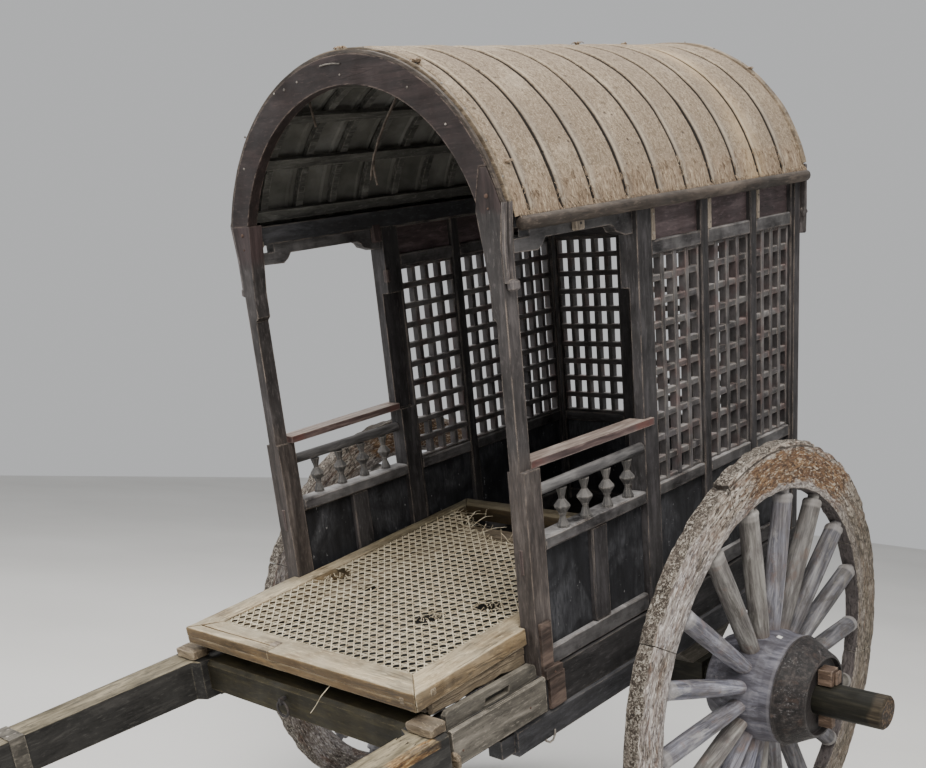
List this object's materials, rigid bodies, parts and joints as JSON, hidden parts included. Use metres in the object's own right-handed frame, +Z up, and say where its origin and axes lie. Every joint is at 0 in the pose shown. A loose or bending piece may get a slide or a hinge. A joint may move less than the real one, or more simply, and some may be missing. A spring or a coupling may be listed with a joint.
{
  "type": "covered carriage",
  "caption": "Two-wheeled covered carriage: barrel-roofed wooden cabin with lattice walls, a cane seat at its open front, spoked wooden wheels and two straight draught shafts.",
  "frame": {"origin": "floor level under the middle of the bounding box, on the centre line", "axes": "+Z up, +Y towards the rear of the carriage, shafts towards -Y, +X to the carriage's left-hand side seen from the front, which is the side shown in the picture; the carriage stands nose-down on its shaft tips"},
  "size_m": [1.968, 4.1249, 2.4428],
  "materials": {
    "dark_wood": "worn dark stain, dusty",
    "plum_wood": "worn purple-brown stain",
    "beam_wood": "weathered, grey-brown",
    "pole_wood": "bare, hand-worn",
    "seat_wood": "bare light wood, handled",
    "cane": "open woven cane",
    "roof_mat": "coarse woven mat, dry",
    "wheel_wood": "rough, paint worn off in flakes",
    "hub_wood": "greasy dark wood",
    "iron": "rusted"
  },
  "bodies": {
    "body": {"axle": "beam_wood", "axle_blocks": "beam_wood", "balusters": "dark_wood", "cheeks": "dark_wood", "cleats": "dark_wood", "corner_blocks": "seat_wood", "cross_beams": "beam_wood", "draw_ring": "iron", "eave_plates": "dark_wood", "eave_poles": "pole_wood", "floor_boards": "beam_wood", "frieze_panels": "plum_wood", "front_arch": "plum_wood", "front_beam": "dark_wood", "front_posts": "dark_wood", "handrails": "pole_wood", "lattice_left": "dark_wood", "lattice_rear": "dark_wood", "lattice_right": "dark_wood", "linchpins": "iron", "lintels": "dark_wood", "lower_panels": "dark_wood", "mid_posts": "dark_wood", "rear_arch": "plum_wood", "rear_frame": "dark_wood", "rear_posts": "dark_wood", "rear_tympanum": "plum_wood", "roof_battens": "pole_wood", "roof_cover": "roof_mat", "roof_hoops": "pole_wood", "seat_bearers": "seat_wood", "seat_cane": "cane", "seat_frame": "seat_wood", "shaft_left": "beam_wood", "shaft_right": "beam_wood", "side_frame_left": "dark_wood", "side_frame_right": "dark_wood", "under_sills": "dark_wood"},
    "wheel_right": {"wheel_right_hub": "hub_wood", "wheel_right_rim": "wheel_wood", "wheel_right_spokes": "wheel_wood"},
    "wheel_left": {"wheel_left_hub": "hub_wood", "wheel_left_rim": "wheel_wood", "wheel_left_spokes": "wheel_wood"}
  },
  "joints": [
    {"name": "wheel_right_spin", "type": "hinge", "parent": "body", "child": "wheel_right", "pos_m": [0.6355, 1.39354, 0.669], "axis": [1, 0, 0], "continuous": true},
    {"name": "wheel_left_spin", "type": "hinge", "parent": "body", "child": "wheel_left", "pos_m": [-0.745, 1.39354, 0.669], "axis": [1, 0, 0], "continuous": true}
  ]
}
